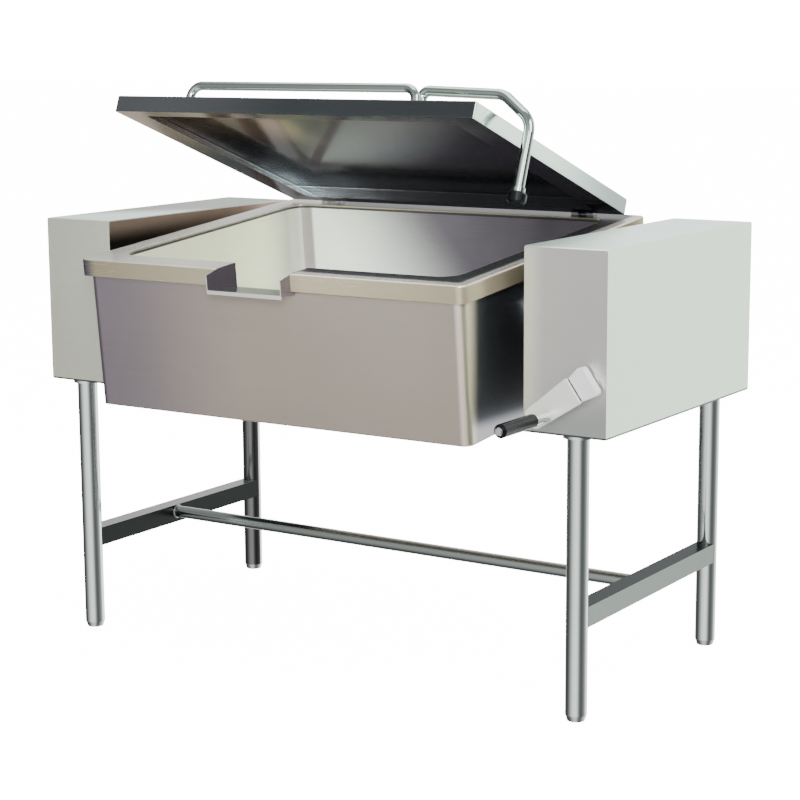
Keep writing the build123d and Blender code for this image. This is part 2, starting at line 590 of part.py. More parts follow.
# Lid handle and the side arm with its collar and knob
reach = HANDLE_FROM_FRONT - LID_FRONT
handle_z = LID_TOP + HANDLE_RISE
handle_points = [(-HANDLE_HALF_SPAN, reach, LID_TOP), (-HANDLE_HALF_SPAN, reach, handle_z),
                 (HANDLE_HALF_SPAN, reach, handle_z), (HANDLE_HALF_SPAN, reach, LID_TOP)]
handle = bent_tube(handle_points, HANDLE_BEND, HANDLE_RADIUS)
for side_x in (-1, 1):
    foot_start = (side_x * HANDLE_HALF_SPAN, reach, LID_TOP)
    handle += rod(foot_start, (0, 0, 1), HANDLE_FOOT_HEIGHT, HANDLE_FOOT_RADIUS)
save("lid_handle", LID * handle)
reach = ARM_FROM_FRONT - LID_FRONT
arm_x = LID_HALF_WIDTH - ARM_FOOT_INSET
leg_x = LID_HALF_WIDTH + ARM_LEG_OUTSET
leg_end = LID_TOP - ARM_LEG_DROP
arm_points = [(arm_x, reach, LID_TOP), (arm_x, reach, LID_TOP + ARM_RISE),
              (LID_HALF_WIDTH - ARM_SHOULDER_INSET, reach, LID_TOP + ARM_RISE - ARM_FALL),
              (leg_x, reach, LID_TOP - ARM_ELBOW_DROP), (leg_x, reach, leg_end)]
side_arm = bent_tube(arm_points, [ARM_FOOT_BEND, ARM_BEND, ARM_BEND], ARM_RADIUS)
side_arm += rod((arm_x, reach, LID_TOP), (0, 0, 1), HANDLE_FOOT_HEIGHT, HANDLE_FOOT_RADIUS)
save("side_arm", LID * side_arm)
collar = rod((leg_x, reach, leg_end), (0, 0, -1), COLLAR_HEIGHT, COLLAR_RADIUS)
save("side_arm_collar", LID * collar)
knob = rod((leg_x, reach, leg_end - COLLAR_HEIGHT), (0, 0, -1), KNOB_HEIGHT, KNOB_RADIUS)
save("side_arm_knob", LID * chamfer(knob.edges().filter_by(GeomType.CIRCLE), KNOB_EDGE))


def sector_profile():
    slope = math.radians(PRESSURE_ANGLE)
    flank = TOOTH_THICKNESS / (2 * SECTOR_PITCH_RADIUS) + math.tan(slope) - slope
    base = SECTOR_PITCH_RADIUS * math.cos(slope)
    root = SECTOR_PITCH_RADIUS - DEDENDUM
    heights = (-DEDENDUM, -ADDENDUM / 2, 0, ADDENDUM / 2, ADDENDUM)
    points = [(0, 0)]
    for index in range(SECTOR_FIRST_TOOTH, SECTOR_LAST_TOOTH + 1):
        middle = 2 * math.pi * (index + 0.5) / SECTOR_TEETH
        left = []
        right = []
        for height in heights:
            radius = SECTOR_PITCH_RADIUS + height
            roll = math.acos(min(base / radius, 1))
            half_angle = flank - (math.tan(roll) - roll)
            left.append((radius, middle - half_angle))
            right.append((radius, middle + half_angle))
        for radius, angle in left + right[::-1]:
            points.append((radius * math.sin(angle), -radius * math.cos(angle)))
    gap = math.pi / SECTOR_TEETH
    first = 2 * math.pi * (SECTOR_FIRST_TOOTH + 0.5) / SECTOR_TEETH - gap
    last = 2 * math.pi * (SECTOR_LAST_TOOTH + 0.5) / SECTOR_TEETH + gap
    points.insert(1, (root * math.sin(first), -root * math.cos(first)))
    points.append((root * math.sin(last), -root * math.cos(last)))
    return points


# Toothed sector: the teeth lean with the lead of the worm
lead_angle = math.atan(WORM_LEAD / (2 * math.pi * WORM_PITCH_RADIUS))
half_twist = math.degrees(SECTOR_FACE / 2 * math.tan(lead_angle) / SECTOR_PITCH_RADIUS)
sector_start = Vector(SECTOR_X - SECTOR_FACE / 2, PIVOT_Y, PIVOT_Z)
sector_plane = Plane(origin=sector_start, x_dir=(0, 1, 0), z_dir=(1, 0, 0))
sector_face = make_face(Polyline(*sector_profile(), close=True))
section = (sector_plane * Rot(0, 0, -half_twist) * sector_face).face()
sector_run = (SECTOR_FACE, 0, 0)
sector = Part() + Solid.extrude_linear_with_rotation(section, sector_start, sector_run, 2 * half_twist)
sector += rod(sector_start, (1, 0, 0), SECTOR_FACE, SECTOR_HUB_RADIUS)
sector -= rod(sector_start, (1, 0, 0), SECTOR_FACE, SHAFT_RADIUS)
sector -= key
save("worm_sector", sector)

# Worm: a trapezoid swept along a helix on a stepped shaft, run forward to the crank
worm_plane = Plane(origin=(SECTOR_X, PIVOT_Y, WORM_Z), x_dir=(0, 0, 1), z_dir=(0, 1, 0))
core_radius = WORM_PITCH_RADIUS - DEDENDUM
half_travel = WORM_TURNS * WORM_LEAD / 2
helix = Pos(0, 0, -half_travel) * Helix(WORM_LEAD, 2 * half_travel, WORM_PITCH_RADIUS)
lean = math.tan(math.radians(PRESSURE_ANGLE))
sink = DEDENDUM + THREAD_ROOT_SINK
root_half = TOOTH_THICKNESS / 2 + sink * lean
tip_half = TOOTH_THICKNESS / 2 - ADDENDUM * lean
corners = [(-sink, -root_half), (ADDENDUM, -tip_half), (ADDENDUM, tip_half), (-sink, root_half)]
profile_plane = Plane(origin=helix @ 0, x_dir=(1, 0, 0), z_dir=(0, 1, 0))
profile = profile_plane * make_face(Polyline(*[(a, -b) for a, b in corners], close=True))
thread = sweep(profile, path=helix, is_frenet=True)
core = rod((0, 0, -WORM_CORE_HALF), (0, 0, 1), 2 * WORM_CORE_HALF, core_radius)
hub_front = front - HUB_BACK - HUB_THICKNESS
shaft_front = PIVOT_Y - hub_front - HUB_FACE
core += rod((0, 0, CRANK_SHAFT_REAR), (0, 0, -1), CRANK_SHAFT_REAR + shaft_front, CRANK_SHAFT_RADIUS)
save("worm_shaft", worm_plane * (core + thread))

# Bearing blocks and bushes on both sides of the worm
bracket_low = base_top
block_top = WORM_Z + BEARING_BLOCK_RISE
half = BEARING_BLOCK_WIDTH / 2
far = BEARING_BLOCK_NEAR + BEARING_BLOCK_LENGTH
foot_top = bracket_low + BRACKET_FOOT_THICKNESS
bracket = box(SECTOR_X - half, SECTOR_X + half, PIVOT_Y - far, PIVOT_Y + far, bracket_low, foot_top)
small_bush = CRANK_SHAFT_RADIUS + RUNNING_GAP + BUSH_WALL
bushes = []
for side_y in (-1, 1):
    near_y = PIVOT_Y + side_y * BEARING_BLOCK_NEAR
    far_y = PIVOT_Y + side_y * far
    bracket += box(SECTOR_X - half, SECTOR_X + half, near_y, far_y, foot_top, block_top)
    bush = rod((SECTOR_X, near_y, WORM_Z), (0, side_y, 0), BEARING_BLOCK_LENGTH, small_bush)
    bracket -= bush
    bushes.append(bush - rod((SECTOR_X, near_y, WORM_Z), (0, side_y, 0), BEARING_BLOCK_LENGTH, bush_bore))
save("worm_bracket", bracket)
save("worm_bushes", Compound(children=bushes))

# Crank
lean_angle = math.radians(CRANK_REST_ANGLE)
along = (-math.cos(lean_angle), 0, -math.sin(lean_angle))
CRANK = Plane(origin=(SECTOR_X, front - HUB_BACK, WORM_Z), x_dir=along, z_dir=(0, -1, 0))
hub_outline = Polyline((-HUB_TAIL, -HUB_TAIL_HALF_WIDTH), (HUB_NOSE, -HUB_NOSE_HALF_WIDTH),
                       (HUB_NOSE, HUB_NOSE_HALF_WIDTH), (-HUB_TAIL, HUB_TAIL_HALF_WIDTH), close=True)
hub = extrude(make_face(hub_outline), HUB_THICKNESS)
hub = fillet(hub.edges().filter_by(Axis.Z), HUB_CORNER)
hub -= rod((0, 0, 0), (0, 0, 1), HUB_THICKNESS - HUB_FACE, CRANK_SHAFT_RADIUS)
save("crank_hub", CRANK * hub)
arm_outline = Polyline((ARM_PLATE_START, -ARM_PLATE_HALF_START), (ARM_PLATE_END, -ARM_PLATE_HALF_END),
                       (ARM_PLATE_END, ARM_PLATE_HALF_END), (ARM_PLATE_START, ARM_PLATE_HALF_START),
                       close=True)
arm = Pos(0, 0, HUB_THICKNESS) * extrude(make_face(arm_outline), ARM_PLATE_THICKNESS)
arm_corners = arm.edges().filter_by(Axis.Z).group_by(Axis.X)
arm = fillet(arm_corners[0], ARM_PLATE_CORNER)
arm = fillet(arm.edges().filter_by(Axis.Z).group_by(Axis.X)[-1], ARM_PLATE_END_CORNER)
arm -= rod((CRANK_REACH, SPINDLE_OFFSET, HUB_THICKNESS), (0, 0, 1), ARM_PLATE_THICKNESS, SPINDLE_RADIUS)
save("crank_arm", CRANK * arm)
arm_face = HUB_THICKNESS + ARM_PLATE_THICKNESS
grip_low = arm_face + GRIP_PLAY
grip_top = grip_low + FERRULE_LENGTH + GRIP_LENGTH
spindle_length = grip_top + GRIP_PLAY - HUB_THICKNESS
spindle = rod((CRANK_REACH, SPINDLE_OFFSET, HUB_THICKNESS), (0, 0, 1), spindle_length, SPINDLE_RADIUS)
screw = rod((CRANK_REACH, SPINDLE_OFFSET, grip_top + GRIP_PLAY), (0, 0, 1), SCREW_HEAD, SCREW_HEAD_RADIUS)
spindle += chamfer(screw.edges().sort_by(Axis.Z)[-1], SCREW_HEAD / 2)
save("crank_spindle", CRANK * spindle)
grip_bore = SPINDLE_RADIUS + RUNNING_GAP
ferrule = tube((CRANK_REACH, SPINDLE_OFFSET, grip_low), (0, 0, 1), FERRULE_LENGTH, FERRULE_RADIUS, grip_bore)
save("crank_ferrule", CRANK * ferrule)
grip = rod((CRANK_REACH, SPINDLE_OFFSET, grip_low + FERRULE_LENGTH), (0, 0, 1), GRIP_LENGTH, GRIP_RADIUS)
grip = chamfer(grip.edges().sort_by(Axis.Z)[-1], GRIP_END_EDGE)
grip -= rod((CRANK_REACH, SPINDLE_OFFSET, grip_low), (0, 0, 1), FERRULE_LENGTH + GRIP_LENGTH, grip_bore)
save("crank_grip", CRANK * grip)
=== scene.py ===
import math

import bpy
from mathutils import Matrix, Vector


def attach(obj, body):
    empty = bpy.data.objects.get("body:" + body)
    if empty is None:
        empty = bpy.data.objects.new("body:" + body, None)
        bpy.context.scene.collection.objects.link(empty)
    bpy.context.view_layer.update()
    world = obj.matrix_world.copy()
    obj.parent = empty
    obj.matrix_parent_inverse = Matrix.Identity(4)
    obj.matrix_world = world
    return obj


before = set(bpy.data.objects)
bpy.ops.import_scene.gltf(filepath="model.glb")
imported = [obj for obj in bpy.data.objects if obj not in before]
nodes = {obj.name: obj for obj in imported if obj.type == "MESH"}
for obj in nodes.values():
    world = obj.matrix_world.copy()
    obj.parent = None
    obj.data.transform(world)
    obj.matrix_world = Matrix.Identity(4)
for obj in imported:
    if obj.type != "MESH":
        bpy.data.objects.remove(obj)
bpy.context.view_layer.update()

STAND, CRANK = "stand", "crank"
# Slopes of the pan and of the lid at rest, in degrees
PAN_TILT = 5.5
LID_RISE = 19.9
# Directions on the object
UP, FRONT, BACK, RIGHT, ANY_WAY = (0, 0, 1), (0, -1, 0), (0, 1, 0), (1, 0, 0), (0, 0, 0)
LID_UNDERSIDE = (0, -0.34, -0.94)
LID_FRONT = (0, -0.94, 0.34)

# Waves per metre of the grinding streaks, the clouds and the fine grain
UPRIGHT_STREAKS = (7.0, 7.0, 900.0)
LEVEL_STREAKS = (900.0, 7.0, 40.0)
SHEET_CLOUDS = 3.2
TUBE_FINE, TUBE_BROAD = 260.0, 14.0
SOLID_BROAD = 18.0
# Height of the bumps and radius of the folds, in metres
SHEET_BUMP, TUBE_BUMP, SOLID_BUMP = 0.0003, 0.0003, 0.0004
FOLD_RADIUS = 0.0012
TUBE_BUMP_STRENGTH = 0.04
# A face counts as level, or as looking a given way, when its normal goes that way by this share
LEVEL_LIMIT = 0.7
FACING_LIMIT = 0.6
# A step that lies left of the whole object
LEFT_OF_ALL = (-1.0, -0.9)
# How much of the streaks and clouds also shows as roughness
SHEET_ROUGHENING = 0.6

COLOUR, NUMBER, VECTOR = "NodeSocketColor", "NodeSocketFloat", "NodeSocketVector"
SURFACE_OUTPUTS = [("Color", COLOUR), ("Roughness", NUMBER), ("Normal", VECTOR)]


# Node helpers
def link(tree, source, output, target, entry):
    tree.links.new(source.outputs[output], target.inputs[entry])


def make_group(name, inputs, outputs):
    group = bpy.data.node_groups.new(name, "ShaderNodeTree")
    for label, kind, value in inputs:
        entry = group.interface.new_socket(label, in_out="INPUT", socket_type=kind)
        entry.default_value = value
    for label, kind in outputs:
        group.interface.new_socket(label, in_out="OUTPUT", socket_type=kind)
    return group, group.nodes.new("NodeGroupInput"), group.nodes.new("NodeGroupOutput")


def maths(tree, operation, first, second=None, clamp=False):
    node = tree.nodes.new("ShaderNodeMath")
    node.operation = operation
    node.use_clamp = clamp
    for index, value in enumerate((first, second)):
        if value is None:
            continue
        if isinstance(value, (int, float)):
            node.inputs[index].default_value = value
        else:
            tree.links.new(value, node.inputs[index])
    return node.outputs[0]


def noise(tree, vector, scale, detail, rough=0.5):
    node = tree.nodes.new("ShaderNodeTexNoise")
    node.inputs["Scale"].default_value = scale
    node.inputs["Detail"].default_value = detail
    node.inputs["Roughness"].default_value = rough
    tree.links.new(vector, node.inputs["Vector"])
    return node.outputs["Fac"]


def mix_number(tree, factor, first, second):
    node = tree.nodes.new("ShaderNodeMix")
    for value, index in ((factor, 0), (first, 2), (second, 3)):
        if isinstance(value, (int, float)):
            node.inputs[index].default_value = value
        else:
            tree.links.new(value, node.inputs[index])
    return node.outputs[0]


def mix_colour(tree, factor, first, second, blend="MIX"):
    node = tree.nodes.new("ShaderNodeMix")
    node.data_type = "RGBA"
    node.blend_type = blend
    for value, index in ((factor, 0), (first, 6), (second, 7)):
        if isinstance(value, (int, float, tuple)):
            node.inputs[index].default_value = value
        else:
            tree.links.new(value, node.inputs[index])
    return node.outputs[2]


def soft_step(tree, value, low, high):
    node = tree.nodes.new("ShaderNodeMapRange")
    node.interpolation_type = "SMOOTHSTEP"
    for index, number in enumerate((value, low, high)):
        if isinstance(number, (int, float)):
            node.inputs[index].default_value = number
        else:
            tree.links.new(number, node.inputs[index])
    return node.outputs[0]


def off_middle(tree, value, amount):
    """A noise centred on 0 and scaled by an amount."""
    return maths(tree, "MULTIPLY", maths(tree, "SUBTRACT", value, 0.5), amount)


def blend_noise(tree, fine, broad, fine_share):
    return maths(tree, "ADD", maths(tree, "MULTIPLY", fine, fine_share),
                 maths(tree, "MULTIPLY", broad, 1 - fine_share))


def put_out_surface(group, entry, out, offset, rough_offset, height, bump_distance):
    """Sends the tint, roughness and bump of one surface to the group's outputs."""
    gain = maths(group, "ADD", offset, 1.0)
    grey = group.nodes.new("ShaderNodeCombineColor")
    for channel in range(3):
        group.links.new(gain, grey.inputs[channel])
    colour = mix_colour(group, 1.0, entry.outputs["Tint"], grey.outputs[0], "MULTIPLY")
    group.links.new(colour, out.inputs["Color"])
    rough = maths(group, "ADD", entry.outputs["Roughness"], rough_offset, True)
    group.links.new(rough, out.inputs["Roughness"])
    bump = group.nodes.new("ShaderNodeBump")
    bump.inputs["Distance"].default_value = bump_distance
    group.links.new(height, bump.inputs["Height"])
    link(group, bump, "Normal", out, "Normal")
    return bump


# Shared surface effects
def brushed_sheet_group():
    """Ground sheet steel: level streaks on upright faces, streaks from front to back on level ones."""
    group, entry, out = make_group(
        "brushed_sheet",
        [("Tint", COLOUR, (0.6, 0.6, 0.58, 1)), ("Tilt", NUMBER, 0.0), ("Grain", NUMBER, 0.1),
         ("Clouds", NUMBER, 0.1), ("Roughness", NUMBER, 0.35), ("Bump", NUMBER, 0.1),
         ("Fold Radius", NUMBER, 0.001)],
        SURFACE_OUTPUTS)
    place = group.nodes.new("ShaderNodeTexCoord")
    turned = []
    for output in ("Object", "Normal"):
        turn = group.nodes.new("ShaderNodeVectorRotate")
        turn.rotation_type = "X_AXIS"
        link(group, place, output, turn, "Vector")
        link(group, entry, "Tilt", turn, "Angle")
        turned.append(turn.outputs[0])
    split = group.nodes.new("ShaderNodeSeparateXYZ")
    group.links.new(turned[1], split.inputs[0])
    level = maths(group, "GREATER_THAN", maths(group, "ABSOLUTE", split.outputs["Z"]), LEVEL_LIMIT)
    streaks = []
    for stretch in (UPRIGHT_STREAKS, LEVEL_STREAKS):
        scaled = group.nodes.new("ShaderNodeVectorMath")
        scaled.operation = "MULTIPLY"
        group.links.new(turned[0], scaled.inputs[0])
        scaled.inputs[1].default_value = stretch
        streaks.append(noise(group, scaled.outputs[0], 1.0, 5.0, 0.62))
    streak = mix_number(group, level, *streaks)
    clouds = noise(group, turned[0], SHEET_CLOUDS, 4.0, 0.55)
    offset = maths(group, "ADD", off_middle(group, streak, entry.outputs["Grain"]),
                   off_middle(group, clouds, entry.outputs["Clouds"]))
    rough_offset = maths(group, "MULTIPLY", offset, SHEET_ROUGHENING)
    bump = put_out_surface(group, entry, out, offset, rough_offset, streak, SHEET_BUMP)
    link(group, entry, "Bump", bump, "Strength")
    fold = group.nodes.new("ShaderNodeBevel")
    fold.samples = 4
    link(group, entry, "Fold Radius", fold, "Radius")
    link(group, fold, "Normal", bump, "Normal")
    return group


def drawn_tube_group():
    """Fine grain and faint clouds of drawn and polished round stock."""
    group, entry, out = make_group(
        "drawn_tube",
        [("Tint", COLOUR, (0.7, 0.7, 0.7, 1)), ("Roughness", NUMBER, 0.15), ("Wear", NUMBER, 0.1)],
        SURFACE_OUTPUTS)
    place = group.nodes.new("ShaderNodeTexCoord")
    fine = noise(group, place.outputs["Object"], TUBE_FINE, 3.0)
    broad = noise(group, place.outputs["Object"], TUBE_BROAD, 4.0)
    offset = off_middle(group, blend_noise(group, fine, broad, 0.4), entry.outputs["Wear"])
    bump = put_out_surface(group, entry, out, offset, offset, fine, TUBE_BUMP)
    bump.inputs["Strength"].default_value = TUBE_BUMP_STRENGTH
    return group


def grained_solid_group():
    """Mottled colour and a small bump for plastic, bronze, cast and wool pieces."""
    group, entry, out = make_group(
        "grained_solid",
        [("Tint", COLOUR, (0.5, 0.5, 0.5, 1)), ("Scale", NUMBER, 300.0), ("Mottle", NUMBER, 0.2),
         ("Roughness", NUMBER, 0.5), ("Bump", NUMBER, 0.2)],
        SURFACE_OUTPUTS)
    place = group.nodes.new("ShaderNodeTexCoord")
    grain = group.nodes.new("ShaderNodeTexNoise")
    grain.inputs["Detail"].default_value = 5.0
    link(group, place, "Object", grain, "Vector")
    link(group, entry, "Scale", grain, "Scale")
    fine = grain.outputs["Fac"]
    broad = noise(group, place.outputs["Object"], SOLID_BROAD, 3.0)
    offset = off_middle(group, blend_noise(group, fine, broad, 0.5), entry.outputs["Mottle"])
    bump = put_out_surface(group, entry, out, offset, offset, fine, SOLID_BUMP)
    link(group, entry, "Bump", bump, "Strength")
    return group


def zone_mask_group():
    """A soft step along one direction of the piece, kept to the faces that look a given way."""
    group, entry, out = make_group(
        "zone_mask",
        [("Direction", VECTOR, RIGHT), ("Start", NUMBER, 0.0), ("End", NUMBER, 1.0),
         ("Facing", VECTOR, ANY_WAY)],
        [("Mask", NUMBER)])
    place = group.nodes.new("ShaderNodeTexCoord")
    dots = []
    for source, label in (("Object", "Direction"), ("Normal", "Facing")):
        dot = group.nodes.new("ShaderNodeVectorMath")
        dot.operation = "DOT_PRODUCT"
        link(group, place, source, dot, 0)
        group.links.new(entry.outputs[label], dot.inputs[1])
        dots.append(dot.outputs["Value"])
    ramp = soft_step(group, dots[0], entry.outputs["Start"], entry.outputs["End"])
    length = group.nodes.new("ShaderNodeVectorMath")
    length.operation = "LENGTH"
    group.links.new(entry.outputs["Facing"], length.inputs[0])
    limit = maths(group, "MULTIPLY", length.outputs["Value"], FACING_LIMIT)
    away = maths(group, "LESS_THAN", dots[1], limit)
    mask = maths(group, "MULTIPLY", ramp, maths(group, "SUBTRACT", 1.0, away))
    group.links.new(mask, out.inputs["Mask"])
    return group


SHEET = brushed_sheet_group()
ZONE = zone_mask_group()
TUBE = drawn_tube_group()
SOLID = grained_solid_group()


# Material helpers
def shader_of(made):
    return made.node_tree.nodes["Principled BSDF"]


def material(name, group, metallic, values):
    made = bpy.data.materials.new(name)
    made.use_nodes = True
    tree = made.node_tree
    surface = shader_of(made)
    surface.inputs["Metallic"].default_value = metallic
    look = tree.nodes.new("ShaderNodeGroup")
    look.node_tree = group
    for label, value in values.items():
        look.inputs[label].default_value = value
    link(tree, look, "Color", surface, "Base Color")
    link(tree, look, "Roughness", surface, "Roughness")
    link(tree, look, "Normal", surface, "Normal")
    return made


def add_zone(made, direction, start, end, tint, facing=ANY_WAY):
    """Blends the material's tint to another one over part of the piece."""
    tree = made.node_tree
    look = next(node for node in tree.nodes if node.type == "GROUP" and "Tint" in node.inputs)
    mask = tree.nodes.new("ShaderNodeGroup")
    mask.node_tree = ZONE
    for label, value in (("Direction", direction), ("Start", start), ("End", end),
                         ("Facing", facing)):
        mask.inputs[label].default_value = value
    entry = look.inputs["Tint"]
    before = entry.links[0].from_socket if entry.is_linked else tuple(entry.default_value)
    tree.links.new(mix_colour(tree, mask.outputs["Mask"], before, (*tint, 1)), entry)


def tint_faces(made, tint, facing):
    """Gives another tint to all faces that look one way."""
    add_zone(made, RIGHT, *LEFT_OF_ALL, tint, facing)


def sheet(name, tint, tilt=0.0, rough=0.34, grain=0.12, clouds=0.14, bump=0.1, metallic=0.9,
          edge=1.0):
    """Ground sheet steel. The edge value dims what it mirrors at a grazing angle."""
    made = material(name, SHEET, metallic,
                    {"Tint": (*tint, 1), "Tilt": math.radians(tilt), "Grain": grain,
                     "Clouds": clouds, "Roughness": rough, "Bump": bump, "Fold Radius": FOLD_RADIUS})
    shader_of(made).inputs["Specular Tint"].default_value = (edge, edge, edge, 1)
    return made


def tube(name, tint, rough=0.14, wear=0.1):
    return material(name, TUBE, 1.0, {"Tint": (*tint, 1), "Roughness": rough, "Wear": wear})


def solid(name, tint, metallic, rough, scale, mottle, bump):
    return material(name, SOLID, metallic,
                    {"Tint": (*tint, 1), "Scale": scale, "Mottle": mottle, "Roughness": rough,
                     "Bump": bump})


# Consoles, light and shade painted into the tint: cream on the left one's front and along the inner
# edge of the right one's, which is darker low down; pale lit right panel and tops, the left top darker
# at the rear; a dark painted shadow line along the bottom
console_steel = sheet("console_steel", (0.66, 0.65, 0.62), rough=0.38, metallic=0.8)
add_zone(console_steel, RIGHT, 0.545, 0.505, (0.90, 0.91, 0.77), FRONT)
add_zone(console_steel, (0.2, 0, -1), -0.52, -0.45, (0.46, 0.48, 0.46), FRONT)
add_zone(console_steel, RIGHT, 0.5, 0.6, (0.82, 0.985, 0.80), RIGHT)
tint_faces(console_steel, (0.82, 1.0, 0.89), UP)
add_zone(console_steel, (-1, 1, 0), 0.38, 0.60, (0.26, 0.30, 0.25), UP)
# Painted shadow: a near-black line along the bottom edge
add_zone(console_steel, UP, 0.5565, 0.5545, (0.07, 0.08, 0.08))

# Inner console walls, shade painted into the tint: near black in the gap beside the pan, brown near
# the top
bearing_wall = sheet("bearing_wall_steel", (0.02, 0.018, 0.016), rough=0.42)
add_zone(bearing_wall, UP, 0.85, 0.895, (0.34, 0.26, 0.20))

# Rails, shade painted into the tint: sides facing right darker, the right one dark on top, the left
# one nearly black on its inner side
rail_steel = sheet("rail_steel", (0.60, 0.62, 0.60), rough=0.28, edge=0.35)
tint_faces(rail_steel, (0.26, 0.30, 0.27), RIGHT)
add_zone(rail_steel, RIGHT, 0.1, 0.2, (0.08, 0.09, 0.09), UP)
add_zone(rail_steel, RIGHT, 0.1, -0.1, (0.03, 0.034, 0.032), RIGHT)

# Pan casing, light and shade painted into the tint: mauve and darker towards the left of the front;
# right side grey, darker above its foot where the console shades it, with a cream front edge where
# light falls on it
casing_steel = sheet("casing_steel", (0.66, 0.58, 0.50), -PAN_TILT, metallic=0.95)
add_zone(casing_steel, RIGHT, -0.05, -0.44, (0.46, 0.395, 0.45), FRONT)
tint_faces(casing_steel, (0.42, 0.41, 0.44), RIGHT)
add_zone(casing_steel, UP, 0.555, 0.585, (0.13, 0.14, 0.16), RIGHT)
add_zone(casing_steel, FRONT, 0.385, 0.425, (1.0, 0.95, 0.70), RIGHT)

# Rim, light and shade painted into the tint: pale lit top, a dark painted reflection along the well on
# the right, pale painted highlights on the outer edges; a shaded dark left end
rim_steel = sheet("rim_steel", (0.47, 0.42, 0.29), -PAN_TILT, rough=0.26, metallic=0.65, edge=0.3)
tint_faces(rim_steel, (0.93, 0.92, 0.84), UP)
add_zone(rim_steel, RIGHT, -0.41, -0.44, (0.14, 0.13, 0.15), (-0.6, -1, 0))
add_zone(rim_steel, (1, 0.55, 0), -0.20, -0.14, (0.09, 0.095, 0.10), UP)
add_zone(rim_steel, FRONT, 0.432, 0.444, (0.93, 0.90, 0.80), UP)
add_zone(rim_steel, RIGHT, 0.428, 0.438, (0.93, 0.90, 0.80), UP)

# Well, light and shade painted into the tint: rear wall dark, paler low down and to the left, with a
# brown painted reflection strip in the corner; left wall lit cream, darker at the rear; a dark painted
# shadow line below the rim
well_steel = sheet("well_steel", (0.13, 0.12, 0.14), -PAN_TILT, rough=0.36, grain=0.35,
                   clouds=0.35, metallic=0.25)
add_zone(well_steel, (1, 0, 0.8), 0.70, 0.35, (0.82, 0.90, 0.82), FRONT)
add_zone(well_steel, RIGHT, -0.352, -0.362, (0.30, 0.27, 0.25), FRONT)
tint_faces(well_steel, (0.86, 0.93, 0.60), RIGHT)
add_zone(well_steel, BACK, 0.06, 0.2, (0.50, 0.53, 0.42), RIGHT)
add_zone(well_steel, (0, -0.0958, 0.9954), 0.8684, 0.8700, (0.04, 0.04, 0.045))

# Pouring lip, light and shade painted into the tint: bright edges round a cheek and floor painted dark
lip_steel = sheet("lip_steel", (0.86, 0.88, 0.84), -PAN_TILT, rough=0.24, metallic=0.8, edge=0.4)
tint_faces(lip_steel, (0.16, 0.14, 0.16), RIGHT)
tint_faces(lip_steel, (0.20, 0.21, 0.21), UP)

# Lid, reflections and shade painted into the tint: warm underside that darkens to the right and rear;
# dark front; pale right edge, darker at the rear
lid_steel = sheet("lid_steel", (0.62, 0.59, 0.56), LID_RISE, rough=0.13, grain=0.2, clouds=0.3,
                  bump=0.02, edge=0.42)
tint_faces(lid_steel, (0.74, 0.58, 0.46), LID_UNDERSIDE)
add_zone(lid_steel, RIGHT, -0.17, -0.07, (0.13, 0.118, 0.133), LID_UNDERSIDE)
add_zone(lid_steel, BACK, -0.24, -0.04, (0.19, 0.185, 0.22), LID_UNDERSIDE)
tint_faces(lid_steel, (0.20, 0.215, 0.225), LID_FRONT)
add_zone(lid_steel, RIGHT, -0.35, 0.05, (0.075, 0.085, 0.09), LID_FRONT)
add_zone(lid_steel, RIGHT, 0.3, 0.4, (0.80, 1.0, 0.86), RIGHT)
add_zone(lid_steel, BACK, -0.15, 0.22, (0.34, 0.40, 0.385), RIGHT)

# Tubes; painted shade makes the rear left leg darker on its front right side
leg_chrome = tube("leg_chrome", (0.72, 0.80, 0.76), 0.12)
add_zone(leg_chrome, (-1, 1, 0), 0.45, 0.60, (0.15, 0.155, 0.15), (0.35, -0.55, 0))
# The cross tube's darker chrome is painted shade under the pan
cross_chrome = tube("cross_tube_chrome", (0.40, 0.44, 0.42), 0.16)
handle_chrome = tube("handle_chrome", (0.44, 0.53, 0.49), 0.08)
crank_chrome = tube("crank_chrome", (0.80, 0.81, 0.80), 0.12)
machined = tube("machined_steel_look", (0.56, 0.57, 0.59), 0.3, 0.25)

# Crank, welds, a painted shadow strip and the pieces that aren't bright steel
# Arm and hub near white with little metal: a painted sheen standing in for their bright polished faces
arm_steel = sheet("crank_arm_steel", (0.92, 0.97, 0.91), clouds=0.1, metallic=0.2)
hub_steel = sheet("hub_steel", (0.95, 1.0, 0.96), rough=0.3, clouds=0.06, metallic=0.1)
weld_grey = solid("weld_grey", (0.42, 0.41, 0.40), 0.9, 0.42, 500.0, 0.5, 0.6)
# Near black: painted shadow in the step where the crank arm meets the hub
step_shadow_black = solid("step_shadow_black", (0.03, 0.034, 0.034), 0.6, 0.5, 500.0, 0.4, 0.5)
dark_cast = solid("dark_cast", (0.07, 0.07, 0.075), 0.3, 0.6, 220.0, 0.4, 0.4)
bronze = solid("bronze_look", (0.55, 0.36, 0.15), 1.0, 0.32, 160.0, 0.3, 0.1)
wool = solid("mineral_wool_look", (0.62, 0.55, 0.30), 0.0, 0.95, 120.0, 0.8, 1.0)
grip_black = solid("grip_black", (0.004, 0.006, 0.006), 0.0, 0.24, 500.0, 0.3, 0.08)
shader_of(grip_black).inputs["Specular IOR Level"].default_value = 0.16
box_grey = solid("box_grey", (0.33, 0.34, 0.35), 0.0, 0.5, 380.0, 0.2, 0.15)

